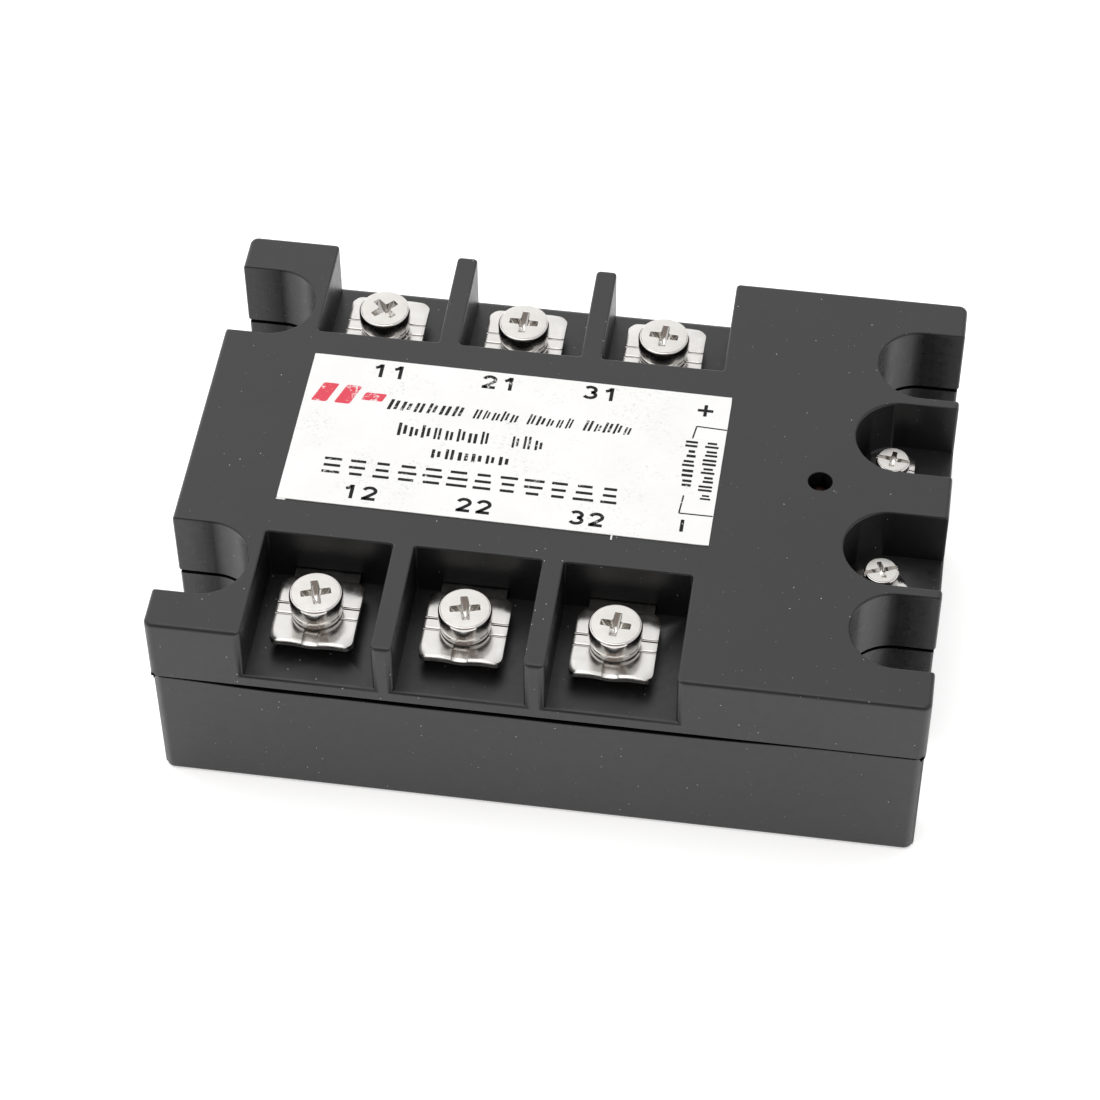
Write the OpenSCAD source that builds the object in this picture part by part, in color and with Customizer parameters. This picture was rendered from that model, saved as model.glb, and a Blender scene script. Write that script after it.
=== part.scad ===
// Three-phase solid state relay for panel mounting.
// A black two-part housing on an aluminium base plate: three output bays along each long
// side, two control input pockets in the right-hand end and a mounting notch near each corner.
// Frame: +Z up, X along the length, -Y the front, origin in the middle of the mounting face.
// All sizes are in millimetres.

/* [Housing] */
// Length of the top cover along X
cover_l = 105; // [95:0.5:120]
// Width of the top cover along Y
cover_w = 74.4; // [70:0.1:80]
// Height from the mounting face to the top of the cover
body_h = 32; // [28:0.5:40]
// How far the housing base is set back from the cover all round
base_set_back = 0.4; // [0.1:0.1:1]
// Height of the middle of the seam between cover and base
seam_z = 20.9; // [18:0.1:24]
// Open gap of the seam
seam_gap = 0.4; // [0.1:0.1:0.8]
// Radius of the vertical corners
corner_r = 1.2; // [0.5:0.1:4]
// Wall thickness of the cover
cover_wall = 3; // [2:0.1:4]
// Wall thickness of the housing base
base_wall = 2.2; // [1.5:0.1:3]
// Thickness of the cover's top
top_wall = 2.6; // [1.5:0.1:4]

/* [Mounting] */
// Mounting hole spacing along X
mount_x = 94; // [80:0.5:100]
// Mounting hole spacing along Y
mount_y = 49; // [40:0.5:60]
// Mounting hole diameter in the base plate (M4 clearance)
mount_d = 4.5; // [3.5:0.1:5.5]
// Radius of the round end of each mounting notch
notch_r = 6.3; // [5:0.1:8]
// Thickness of the base plate
plate_t = 3; // [2:0.5:5]

/* [Output bays] */
// X of the middle bay's centre
bay_x = -10.1; // [-15:0.1:0]
// Distance between neighbouring bays
bay_pitch = 20.45; // [18:0.05:24]
// Width of a bay along X
bay_w = 17.5; // [14:0.1:19]
// Y of the inner wall of the front bays
bay_front_y = -18.7; // [-22:0.1:-15]
// Y of the inner wall of the back bays
bay_back_y = 19.6; // [15:0.1:22]
// Height of the floor of the bays and pockets
floor_z = 23; // [21.5:0.1:25]
// X of the middle pair of output screws
out_x = -10.65; // [-15:0.05:0]
// Distance between neighbouring output screws
out_pitch = 20.35; // [18:0.05:24]
// Distance of the output screws from the X axis
out_y = 27; // [24:0.1:30]

/* [Input pockets] */
// Distance of the input pockets from the X axis
pocket_y = 10.25; // [8:0.05:14]
// Radius of the round end of an input pocket
pocket_r = 6.4; // [5:0.1:8]
// X of the centre of the round end
pocket_x = 45.05; // [42:0.05:48]
// X of the input screws
in_x = 44.1; // [42:0.1:47]
// X of the status lamp
led_x = 34.5; // [30:0.1:38]
// Y of the status lamp
led_y = 0.5; // [-5:0.1:5]
// Diameter of the hole over the lamp
led_hole_d = 3.4; // [2:0.1:5]

/* [Label] */
// Length of the label
label_l = 59.7; // [40:0.1:70]
// Width of the label
label_w = 27.7; // [15:0.1:32]
// How far the label is turned, in degrees
label_turn = -0.6; // [-3:0.1:3]
// Thickness of the label
label_t = 0.15; // [0.05:0.05:0.3]

/* [Terminal screws] */
// Output screw head diameter (M4 pan head)
out_head_d = 7.4; // [6:0.1:8.5]
// Diameter of the flat on top of the output screw head
out_face_d = 6.7; // [5:0.1:7.5]
// Output screw head height
out_head_h = 2.9; // [2:0.1:4]
// Height of the top of the output screw heads
out_head_z = 30.1; // [28:0.1:31.5]
// Side of the square output clamp plate
out_clamp_w = 11.4; // [9:0.1:13]
// Thickness of the output clamp plate and spring washer
out_clamp_t = 1; // [0.6:0.05:1.5]
// Input screw head diameter (M3 pan head)
in_head_d = 4.8; // [4:0.1:6]
// Diameter of the flat on top of the input screw head
in_face_d = 4.3; // [3:0.1:5.5]
// Input screw head height
in_head_h = 1.8; // [1.5:0.1:3]
// Height of the top of the input screw heads
in_head_z = 27.3; // [26:0.1:30]
// Side of the square input clamp plate
in_clamp_w = 6.3; // [5:0.1:8]
// Thickness of the input clamp plate and spring washer
in_clamp_t = 0.7; // [0.4:0.05:1.2]

/* [Hidden] */
$fn = 64;
eps = 0.01;
gap = 0.05;

base_l = cover_l - 2 * base_set_back;
base_w = cover_w - 2 * base_set_back;
base_bottom_z = 0.2;
base_top_z = seam_z - seam_gap / 2;
cover_bottom_z = seam_z + seam_gap / 2;
ceiling_z = body_h - top_wall;

rib_wall = 1.5;
notch_wall = 1.8;
notch_reach = 12;
lip_drop = 2.6;
lip_t = 1.1;
lip_gap = 0.2;

plate_rim = 1.55;
plate_gap = 0.15;
plate_l = base_l - 2 * (plate_rim + plate_gap);
plate_w = base_w - 2 * (plate_rim + plate_gap);
ear_gap = 0.3;

post_r = 3.2;
post_h = 11;
posts = [[-20.4, 31], [-20.4, -31], [30, 31], [30, -31]];
base_screw_r = 1.3;
base_screw_head_r = 2.7;
base_screw_head_h = 1.5;
base_screw_l = 9.5;

// Output terminals: [x, side] with side -1 for the front row and 1 for the back row
outputs = [for (side = [1, -1]) for (i = [-1 : 1]) [out_x + i * out_pitch, side]];
inputs = [1, -1];

term_w = 9;
term_t = 1.8;
term_end_y = 31.2;
term_leg_y = 14.4;
term_foot_y = 9.6;
term_z = floor_z + gap;
term_hole_r = 2.25;

in_term_w = 4.4;
in_term_t = 0.75;
in_term_end_x = 46.9;
in_term_leg_x = 35.4;
in_pin_w = 1.2;
in_term_z = floor_z + gap;
in_hole_r = 1.7;

out_shank_r = 1.95;
out_bore_r = 2;
out_shank_l = 10;
out_washer_r = 3.45;
out_nut_w = 7;
out_nut_t = 3.2;
out_boss_w = 10.5;
out_boss_bottom_z = 15.4;
out_under_head_z = out_head_z - out_head_h;
out_washer_z = out_under_head_z - gap - out_clamp_t;
out_clamp_z = out_washer_z - gap / 2 - out_clamp_t;

in_shank_r = 1.47;
in_bore_r = 1.52;
in_shank_l = 8;
in_washer_r = 2.35;
in_nut_w = 5.5;
in_nut_t = 2.4;
in_boss_w = 8.5;
in_boss_bottom_z = 16.1;
in_under_head_z = in_head_z - in_head_h;
in_washer_z = in_under_head_z - gap / 2 - in_clamp_t;
in_clamp_z = in_washer_z - gap / 2 - in_clamp_t;

nut_gap = 0.15;
nut_top_z = floor_z - gap;
shaft_gap = 0.45;
shaft_end_gap = 0.8;

substrate_l = 27;
substrate_w = 17;
substrate_t = 0.63;
substrate_z = plate_t + gap;
pad_l = 12.4;
pad_w = 15.4;
pad_t = 0.3;
pad_y = 7;
pad_z = substrate_z + substrate_t + gap;
die_w = 7.4;
die_t = 0.4;
die_x = 3.2;
die_y = 4.7;
die_z = pad_z + pad_t + gap;
strap_w = 4;
strap_t = 0.5;
strap_x = 4.2;
strap_z = die_z + die_t + gap;
foot_z = pad_z + pad_t + gap;

board_z = 14;
board_t = 1.6;
board_l = 89;
board_x = 4.5;
board_w = 23;
board_wide_l = 17;
board_wide_x = 28.5;
board_wide_w = 53;
board_top_z = board_z + board_t;
pin_r = 0.3;
pin_hole_r = 0.45;
pin_drop = 0.7;
pot_top_z = 11;

lead_r = 0.3;
opto = [8.9, 6.4, 3.4];
opto_row_y = 3.81;
lead_pitch = 2.54;
gate_res_y = 9.2;
cap_x = 24;
cap_pitch = 17;
cap = [5, 13, 9];
cap_lead_y = 5;
snub_res_x = 30.9;
snub_res_y = [-21, -10, 21];
diode_at = [41, 0];
in_res_at = [-20.8, 0];
transistor_at = [29.5, 3];
led_legs = 1.27;
led_r = 1.5;
led_flange_r = 1.9;
led_flange_z = 25;
led_dome_z = 28.7;

black = [0.13, 0.13, 0.14];
plastic = [0.22, 0.22, 0.23];
aluminium = [0.75, 0.76, 0.78];
nickel = [0.82, 0.81, 0.78];
steel = [0.7, 0.71, 0.72];
copper = [0.78, 0.48, 0.3];
ceramic = [0.93, 0.93, 0.9];
board_green = [0.1, 0.35, 0.2];

// ---------- plan shapes ----------

// Rectangle with true round corners, centred on the origin
module rounded_rect(l, w, r) {
    square([l - 2 * r, w], center = true);
    square([l, w - 2 * r], center = true);
    for (sx = [-1, 1]) {
        for (sy = [-1, 1]) {
            translate([sx * (l / 2 - r), sy * (w / 2 - r)])
                circle(r = r);
        }
    }
}

// U-shaped cut-out: round end at (x, y), open toward +X
module u_cut(x, y, r, reach) {
    translate([x, y])
        circle(r = r);
    translate([x, y - r])
        square([reach, 2 * r]);
}

// The four mounting notches, grown by "grow"
module notches(grow) {
    for (m = [0, 1]) {
        mirror([m, 0]) {
            for (sy = [-1, 1]) {
                u_cut(mount_x / 2, sy * mount_y / 2, notch_r + grow, notch_reach);
            }
        }
    }
}

// The two input pockets, grown by "grow"
module pockets(grow) {
    for (s = inputs) {
        u_cut(pocket_x, s * pocket_y, pocket_r + grow, notch_reach);
    }
}

// The six output bays, grown by "grow"
module bays(grow) {
    depth = cover_w / 2;
    for (i = [-1 : 1]) {
        translate([bay_x + i * bay_pitch, 0]) {
            translate([-bay_w / 2 - grow, bay_back_y - grow])
                square([bay_w + 2 * grow, depth]);
            translate([-bay_w / 2 - grow, bay_front_y + grow - depth])
                square([bay_w + 2 * grow, depth]);
        }
    }
}

// ---------- housing ----------

module base_plate() {
    color(aluminium)
    difference() {
        linear_extrude(plate_t) {
            rounded_rect(plate_l, plate_w, corner_r);
            for (sx = [-1, 1]) {
                for (sy = [-1, 1]) {
                    translate([sx * (mount_x / 2 + 2.5), sy * mount_y / 2])
                        square([5.2, 2 * (notch_r - ear_gap)], center = true);
                }
            }
        }
        for (sx = [-1, 1]) {
            for (sy = [-1, 1]) {
                translate([sx * mount_x / 2, sy * mount_y / 2, -eps])
                    cylinder(r = mount_d / 2, h = plate_t + 2 * eps);
            }
        }
        for (p = posts) {
            translate([p[0], p[1], -eps]) {
                cylinder(r = base_screw_r + 0.2, h = plate_t + 2 * eps);
                cylinder(r1 = base_screw_head_r + 0.1, r2 = base_screw_r + 0.2,
                         h = base_screw_head_h + 0.1);
            }
        }
    }
}

module housing_base() {
    inner_l = base_l - 2 * base_wall;
    inner_w = base_w - 2 * base_wall;
    ledge_z = plate_t + gap;
    color(black)
    difference() {
        union() {
            // Outer wall, with a rebate for the base plate
            difference() {
                translate([0, 0, base_bottom_z])
                    linear_extrude(base_top_z - base_bottom_z)
                        rounded_rect(base_l, base_w, corner_r);
                translate([0, 0, -1])
                    linear_extrude(ledge_z + 1)
                        rounded_rect(base_l - 2 * plate_rim, base_w - 2 * plate_rim, corner_r);
                translate([0, 0, ledge_z - eps])
                    linear_extrude(body_h)
                        rounded_rect(inner_l, inner_w, corner_r);
            }
            // Walls around the mounting notches
            translate([0, 0, ledge_z])
                linear_extrude(base_top_z - ledge_z)
                    intersection() {
                        notches(notch_wall);
                        rounded_rect(base_l - 1, base_w - 1, corner_r);
                    }
            // Screw posts, joined to the side walls
            for (p = posts) {
                side = sign(p[1]);
                translate([0, 0, ledge_z])
                    linear_extrude(post_h) {
                        translate(p)
                            circle(r = post_r);
                        translate([p[0] - 1, side > 0 ? p[1] : -inner_w / 2 - 0.5])
                            square([2, inner_w / 2 + 0.5 - abs(p[1])]);
                    }
            }
        }
        translate([0, 0, -1])
            linear_extrude(body_h)
                notches(0);
        for (p = posts) {
            translate([p[0], p[1], plate_t])
                cylinder(r = base_screw_r + gap, h = base_screw_l - plate_t + 0.5);
        }
    }
}

// One nut pocket with the clearance hole for the screw's end below it
module nut_well(nut_w, nut_t, shank_r, end_z) {
    translate([0, 0, floor_z - nut_t / 2 + eps])
        cube([nut_w + 2 * nut_gap, nut_w + 2 * nut_gap, nut_t + 3 * nut_gap], center = true);
    translate([0, 0, end_z - shaft_end_gap])
        cylinder(r = shank_r + shaft_gap, h = floor_z - end_z);
}

module top_cover() {
    color(plastic)
    difference() {
        union() {
            // Shell with open bays and pockets down to their floor
            difference() {
                translate([0, 0, cover_bottom_z])
                    linear_extrude(body_h - cover_bottom_z)
                        rounded_rect(cover_l, cover_w, corner_r);
                translate([0, 0, floor_z])
                    linear_extrude(body_h) {
                        bays(0);
                        pockets(0);
                    }
                // Hollow between the walls of the bays, pockets and notches
                translate([0, 0, cover_bottom_z - 1])
                    linear_extrude(ceiling_z - cover_bottom_z + 1)
                        difference() {
                            rounded_rect(cover_l - 2 * cover_wall, cover_w - 2 * cover_wall,
                                         corner_r);
                            bays(rib_wall);
                            pockets(rib_wall);
                            notches(rib_wall);
                        }
            }
            // Locating lip inside the housing base
            translate([0, 0, cover_bottom_z - lip_drop])
                linear_extrude(lip_drop + 1)
                    difference() {
                        rounded_rect(base_l - 2 * (base_wall + lip_gap),
                                     base_w - 2 * (base_wall + lip_gap), corner_r);
                        rounded_rect(base_l - 2 * (base_wall + lip_gap + lip_t),
                                     base_w - 2 * (base_wall + lip_gap + lip_t), corner_r);
                        notches(notch_wall + lip_gap);
                    }
            // Bosses that hold the terminal nuts
            for (t = outputs) {
                translate([t[0] - out_boss_w / 2, t[1] * out_y - out_boss_w / 2,
                           out_boss_bottom_z])
                    cube([out_boss_w, out_boss_w, cover_bottom_z - out_boss_bottom_z + 1]);
            }
            for (s = inputs) {
                translate([in_x - in_boss_w / 2, s * pocket_y - in_boss_w / 2,
                           in_boss_bottom_z])
                    cube([in_boss_w, in_boss_w, cover_bottom_z - in_boss_bottom_z + 1]);
            }
        }
        translate([0, 0, -1])
            linear_extrude(body_h + 2)
                notches(0);
        translate([led_x, led_y, ceiling_z - 1])
            cylinder(r = led_hole_d / 2, h = top_wall + 2);
        for (t = outputs) {
            translate([t[0], t[1] * out_y, 0])
                nut_well(out_nut_w, out_nut_t, out_shank_r, out_under_head_z - out_shank_l);
            // Slot for the terminal through the inner wall of the bay
            translate([t[0] - term_w / 2 - nut_gap, t[1] > 0 ? term_leg_y + 1 : -out_y,
                       floor_z])
                cube([term_w + 2 * nut_gap, out_y - term_leg_y - 1, term_t + 2 * nut_gap]);
        }
        for (s = inputs) {
            translate([in_x, s * pocket_y, 0])
                nut_well(in_nut_w, in_nut_t, in_shank_r, in_under_head_z - in_shank_l);
            translate([in_term_leg_x + 1, s * pocket_y - in_term_w / 2 - nut_gap, floor_z])
                cube([in_x - in_term_leg_x, in_term_w + 2 * nut_gap,
                      in_term_t + 2 * nut_gap]);
        }
    }
}

module label() {
    color("white")
    translate([-9.1, 0.8, body_h + gap / 5])
        rotate([0, 0, label_turn])
            linear_extrude(label_t)
                rounded_rect(label_l, label_w, 0.8);
}

// ---------- output terminals ----------

// Bar for the back row; the front row is its mirror image
module terminal_bar() {
    translate([-term_w / 2, 0, 0])
        rotate([90, 0, 90])
            linear_extrude(term_w)
                polygon([
                    [term_foot_y, foot_z],
                    [term_leg_y, foot_z],
                    [term_leg_y, term_z],
                    [term_end_y, term_z],
                    [term_end_y, term_z + term_t],
                    [term_leg_y - term_t, term_z + term_t],
                    [term_leg_y - term_t, foot_z + term_t],
                    [term_foot_y, foot_z + term_t]
                ]);
}

module output_terminal(n) {
    t = outputs[n - 1];
    color(nickel)
    translate([t[0], 0, 0])
        mirror([0, t[1] > 0 ? 0 : 1, 0])
            difference() {
                terminal_bar();
                translate([0, out_y, floor_z - 1])
                    cylinder(r = term_hole_r, h = term_t + 2);
            }
}

module square_nut(w, t, bore_r) {
    difference() {
        translate([-w / 2, -w / 2, nut_top_z - t])
            cube([w, w, t]);
        translate([0, 0, nut_top_z - t - eps])
            cylinder(r = bore_r, h = t + 2 * eps);
    }
}

module output_nuts() {
    color(steel)
    for (t = outputs) {
        translate([t[0], t[1] * out_y, 0])
            square_nut(out_nut_w, out_nut_t, out_bore_r);
    }
}

// Square clamp plate with two cross grooves and a channel toward the open side
module clamp(w, t, bore_r, r) {
    groove_y = 0.09 * w;
    groove_w = 0.25;
    groove_deep = 0.12;
    channel_w = 0.19 * w;
    channel_deep = 0.22;
    difference() {
        linear_extrude(t)
            difference() {
                rounded_rect(w, w, r);
                circle(r = bore_r);
            }
        for (s = [-1, 1]) {
            translate([-w, s * groove_y - groove_w / 2, t - groove_deep])
                cube([2 * w, groove_w, 1]);
        }
        translate([-channel_w / 2, w / 4, t - channel_deep])
            cube([channel_w, w, 1]);
    }
}

module clamp_plate(n) {
    t = outputs[n - 1];
    color(nickel)
    translate([t[0], t[1] * out_y, out_clamp_z])
        rotate([0, 0, t[1] > 0 ? 0 : 180])
            clamp(out_clamp_w, out_clamp_t, out_bore_r, 1.2);
}

// Split ring; the slit faces +Y
module split_washer(r, bore_r, t) {
    slit = 0.5;
    difference() {
        cylinder(r = r, h = t);
        translate([0, 0, -eps])
            cylinder(r = bore_r, h = t + 2 * eps);
        translate([-slit / 2, 0, -1])
            cube([slit, 2 * r, t + 2]);
    }
}

module spring_washer(n) {
    t = outputs[n - 1];
    color(nickel)
    translate([t[0], t[1] * out_y, out_washer_z])
        split_washer(out_washer_r, out_bore_r + gap, out_clamp_t);
}

// Screw with a flat-topped pan head and a cross recess; z = 0 is the underside of the head
module cross_screw(head_d, face_d, head_h, shank_r, shank_l, recess, slot) {
    shoulder = 0.4 * head_h;
    tip = 0.5;
    arm = 0.24 * recess;
    deep = 0.55 * head_h;
    difference() {
        union() {
            cylinder(r = head_d / 2, h = head_h - shoulder);
            translate([0, 0, head_h - shoulder])
                cylinder(r1 = head_d / 2, r2 = face_d / 2, h = shoulder);
            translate([0, 0, tip - shank_l])
                cylinder(r = shank_r, h = shank_l - tip + eps);
            translate([0, 0, -shank_l])
                cylinder(r1 = shank_r - tip, r2 = shank_r, h = tip);
        }
        for (a = [0, 90]) {
            rotate([0, 0, a])
                translate([-recess / 2, -arm / 2, head_h - deep])
                    cube([recess, arm, head_h]);
        }
        if (slot > 0) {
            translate([-head_d, -slot / 2, head_h - deep / 2])
                cube([2 * head_d, slot, head_h]);
        }
    }
}

// Angle at which each output screw's recess has come to rest
recess_turn = [45, -2.5, -4, 17, 12.5, -5];

module terminal_screw(n) {
    t = outputs[n - 1];
    color(nickel)
    translate([t[0], t[1] * out_y, out_under_head_z])
        rotate([0, 0, recess_turn[n - 1]])
            cross_screw(out_head_d, out_face_d, out_head_h, out_shank_r, out_shank_l, 4.2, 0);
}

// ---------- input terminals ----------

module input_terminal(s) {
    pin_z = board_z - pin_drop;
    color(nickel)
    translate([0, s * pocket_y, 0])
        difference() {
            union() {
                translate([in_term_leg_x, -in_term_w / 2, in_term_z])
                    cube([in_term_end_x - in_term_leg_x, in_term_w, in_term_t]);
                translate([in_term_leg_x, -in_term_w / 2, board_top_z + 0.4])
                    cube([in_term_t, in_term_w, in_term_z + eps - board_top_z - 0.4]);
                translate([in_term_leg_x, -in_pin_w / 2, pin_z])
                    cube([in_term_t, in_pin_w, in_term_z - pin_z]);
            }
            translate([in_x, 0, in_term_z - 1])
                cylinder(r = in_hole_r, h = in_term_t + 2);
        }
}

module input_nuts() {
    color(steel)
    for (s = inputs) {
        translate([in_x, s * pocket_y, 0])
            square_nut(in_nut_w, in_nut_t, in_bore_r);
    }
}

module input_clamp_plate(s) {
    color(nickel)
    translate([in_x, s * pocket_y, in_clamp_z])
        rotate([0, 0, s > 0 ? -90 : -62])
            clamp(in_clamp_w, in_clamp_t, in_bore_r, 0.7);
}

module input_spring_washer(s) {
    color(nickel)
    translate([in_x, s * pocket_y, in_washer_z])
        split_washer(in_washer_r, in_bore_r + gap, in_clamp_t);
}

module input_screw(s) {
    color(nickel)
    translate([in_x, s * pocket_y, in_under_head_z])
        rotate([0, 0, s > 0 ? -8 : 20])
            cross_screw(in_head_d, in_face_d, in_head_h, in_shank_r, in_shank_l, 3, 0.7);
}

// ---------- power stage ----------

module ceramic_substrates() {
    color(ceramic)
    for (i = [-1 : 1]) {
        translate([out_x + i * out_pitch, 0, substrate_z + substrate_t / 2])
            cube([substrate_w, substrate_l, substrate_t], center = true);
    }
}

module copper_pads() {
    color(copper)
    for (t = outputs) {
        translate([t[0], t[1] * pad_y, pad_z + pad_t / 2])
            cube([pad_w, pad_l, pad_t], center = true);
    }
}

module thyristor_dies() {
    color(steel)
    for (t = outputs) {
        translate([t[0] + t[1] * die_x, t[1] * die_y, die_z + die_t / 2])
            cube([die_w, die_w, die_t], center = true);
    }
}

// Strap from the top of a die, down onto the pad of the other half
module copper_straps() {
    land_z = pad_z + pad_t + gap;
    color(copper)
    for (t = outputs) {
        translate([t[0], 0, 0])
            rotate([0, 0, t[1] > 0 ? 0 : 180])
                translate([strap_x - strap_w / 2, 0, 0])
                    rotate([90, 0, 90])
                        linear_extrude(strap_w)
                            polygon([
                                [7.6, strap_z],
                                [-1.2, strap_z],
                                [-1.2, land_z],
                                [-4.6, land_z],
                                [-4.6, land_z + strap_t],
                                [-1.7, land_z + strap_t],
                                [-1.7, strap_z + strap_t],
                                [7.6, strap_z + strap_t]
                            ]);
    }
}

// Where the pins stand on the half that belongs to the back row: [x, y, foot height]
function pin_spots() = [
    [0.8, 5.6, die_z + die_t + gap],
    [strap_x, 6.6, strap_z + strap_t + gap]
];

module gate_pins() {
    pin_top_z = board_top_z + pin_drop;
    color(copper)
    for (t = outputs) {
        for (p = pin_spots()) {
            translate([t[0] + t[1] * p[0], t[1] * p[1], p[2]])
                cylinder(r = pin_r, h = pin_top_z - p[2], $fn = 24);
        }
    }
}

module potting_compound() {
    side_gap = 0.1;
    color([0.2, 0.2, 0.25])
    difference() {
        translate([0, 0, plate_t + gap])
            linear_extrude(pot_top_z - plate_t)
                difference() {
                    rounded_rect(base_l - 2 * (base_wall + side_gap),
                                 base_w - 2 * (base_wall + side_gap), corner_r);
                    notches(notch_wall + side_gap);
                    for (p = posts) {
                        translate(p)
                            circle(r = post_r + side_gap);
                        translate([p[0] - 1.1, p[1] > 0 ? p[1] : p[1] - 5])
                            square([2.2, 5]);
                    }
                }
        for (i = [-1 : 1]) {
            translate([out_x + i * out_pitch, 0, plate_t])
                cube([substrate_w + 0.2, substrate_l + 0.2, 2 * (substrate_t + 0.15)],
                     center = true);
            translate([out_x + i * out_pitch, 0, plate_t])
                cube([pad_w + 0.2, 2 * (pad_y + pad_l / 2) + 0.2,
                      2 * (strap_z + strap_t + 0.1 - plate_t)], center = true);
        }
        for (t = outputs) {
            translate([t[0], t[1] * (term_leg_y + term_foot_y) / 2, plate_t])
                cube([term_w + 0.2, term_leg_y - term_foot_y + 0.2,
                      2 * (foot_z + term_t + 0.1 - plate_t)], center = true);
            translate([t[0], t[1] * (term_leg_y - term_t / 2), pot_top_z])
                cube([term_w + 0.2, term_t + 0.2, 2 * pot_top_z - 10], center = true);
            for (p = pin_spots()) {
                translate([t[0] + t[1] * p[0], t[1] * p[1], plate_t + 1])
                    cylinder(r = pin_r + 0.1, h = pot_top_z, $fn = 24);
            }
        }
    }
}

// ---------- control board ----------

module control_board() {
    color(board_green)
    translate([0, 0, board_z])
        linear_extrude(board_t)
            difference() {
                union() {
                    translate([board_x, 0])
                        square([board_l, board_w], center = true);
                    translate([board_wide_x, 0])
                        square([board_wide_l, board_wide_w], center = true);
                }
                for (t = outputs) {
                    for (p = pin_spots()) {
                        translate([t[0] + t[1] * p[0], t[1] * p[1]])
                            circle(r = pin_hole_r, $fn = 24);
                    }
                }
                for (s = inputs) {
                    translate([in_term_leg_x + in_term_t / 2, s * pocket_y])
                        square([in_term_t + 0.4, in_pin_w + 0.4], center = true);
                }
                for (s = [-1, 1]) {
                    translate([led_x + s * led_legs, led_y])
                        circle(r = pin_hole_r, $fn = 24);
                }
            }
}

module optocouplers() {
    foot_w = 0.6;
    color(black)
    for (i = [-1 : 1]) {
        translate([out_x + i * out_pitch, 0, board_top_z + gap]) {
            translate([-opto[0] / 2, -opto[1] / 2, 0.5])
                cube(opto);
            for (k = [-1 : 1]) {
                for (s = [-1, 1]) {
                    translate([k * lead_pitch - foot_w / 2, s * opto_row_y - foot_w / 2, 0])
                        cube([foot_w, foot_w, 2.2]);
                    translate([k * lead_pitch - foot_w / 2,
                               s * (opto_row_y - 0.3) - 0.4, 1.8])
                        cube([foot_w, 0.8, 0.4]);
                }
            }
        }
    }
}

// Axial part lying along X with its two leads bent down onto the board
module axial_part(body_l, body_r, span) {
    lift = body_r + 0.2;
    translate([-body_l / 2, 0, lift])
        rotate([0, 90, 0])
            cylinder(r = body_r, h = body_l, $fn = 32);
    translate([-span / 2, 0, lift])
        rotate([0, 90, 0])
            cylinder(r = lead_r, h = span, $fn = 16);
    for (s = [-1, 1]) {
        translate([s * span / 2, 0, lift])
            sphere(r = lead_r, $fn = 16);
        translate([s * span / 2, 0, 0])
            cylinder(r = lead_r, h = lift, $fn = 16);
    }
}

module gate_resistors() {
    color([0.75, 0.65, 0.45])
    for (t = outputs) {
        translate([t[0], t[1] * gate_res_y, board_top_z + gap])
            axial_part(6.2, 1.1, 10);
    }
}

module snubber_capacitors() {
    color([0.75, 0.55, 0.2])
    for (i = [-1 : 1]) {
        translate([cap_x, i * cap_pitch, board_top_z + gap]) {
            translate([-cap[0] / 2, -cap[1] / 2, 0.4])
                cube(cap);
            for (s = [-1, 1]) {
                translate([0, s * cap_lead_y, 0])
                    cylinder(r = lead_r, h = 0.5, $fn = 16);
            }
        }
    }
}

module snubber_resistors() {
    color([0.35, 0.5, 0.62])
    for (y = snub_res_y) {
        translate([snub_res_x, y, board_top_z + gap])
            rotate([0, 0, 90])
                axial_part(7, 1.6, 9.5);
    }
}

module input_transistor() {
    color(black)
    translate([transistor_at[0], transistor_at[1], board_top_z + gap]) {
        translate([0, 0, 2.5])
            difference() {
                cylinder(r = 2.3, h = 4.6);
                translate([-3, -4.4, -1])
                    cube([6, 3, 7]);
            }
        for (k = [-1 : 1]) {
            translate([k * 1.27, 0, 0])
                cylinder(r = 0.25, h = 3, $fn = 16);
        }
    }
}

module protection_diode() {
    color(black)
    translate([diode_at[0], diode_at[1], board_top_z + gap])
        rotate([0, 0, 90])
            axial_part(5.2, 1.35, 9);
}

module input_resistor() {
    color([0.75, 0.65, 0.45])
    translate([in_res_at[0], in_res_at[1], board_top_z + gap])
        rotate([0, 0, 90])
            axial_part(6.2, 1.1, 9);
}

module status_led() {
    color([0.5, 0.05, 0.05])
    translate([led_x, led_y, 0]) {
        translate([0, 0, led_flange_z])
            cylinder(r = led_flange_r, h = 1);
        translate([0, 0, led_flange_z + 1])
            cylinder(r = led_r, h = led_dome_z - led_flange_z - 1);
        intersection() {
            translate([0, 0, led_dome_z])
                sphere(r = led_r);
            translate([-led_r, -led_r, led_dome_z])
                cube([2 * led_r, 2 * led_r, 2 * led_r]);
        }
        for (s = [-1, 1]) {
            translate([s * led_legs - 0.25, -0.25, board_z - pin_drop])
                cube([0.5, 0.5, led_flange_z - board_z + pin_drop + eps]);
        }
    }
}

module base_plate_screws() {
    color(steel)
    for (p = posts) {
        translate([p[0], p[1], 0.05])
            difference() {
                union() {
                    cylinder(r1 = base_screw_head_r, r2 = base_screw_r,
                             h = base_screw_head_h);
                    cylinder(r = base_screw_r, h = base_screw_l - 1);
                    translate([0, 0, base_screw_l - 1])
                        cylinder(r1 = base_screw_r, r2 = 0.4, h = 1);
                }
                for (a = [20, 110]) {
                    rotate([0, 0, a])
                        translate([-1.3, -0.3, -eps])
                            cube([2.6, 0.6, 0.9]);
                }
            }
    }
}

// ---------- assembly ----------

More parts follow.
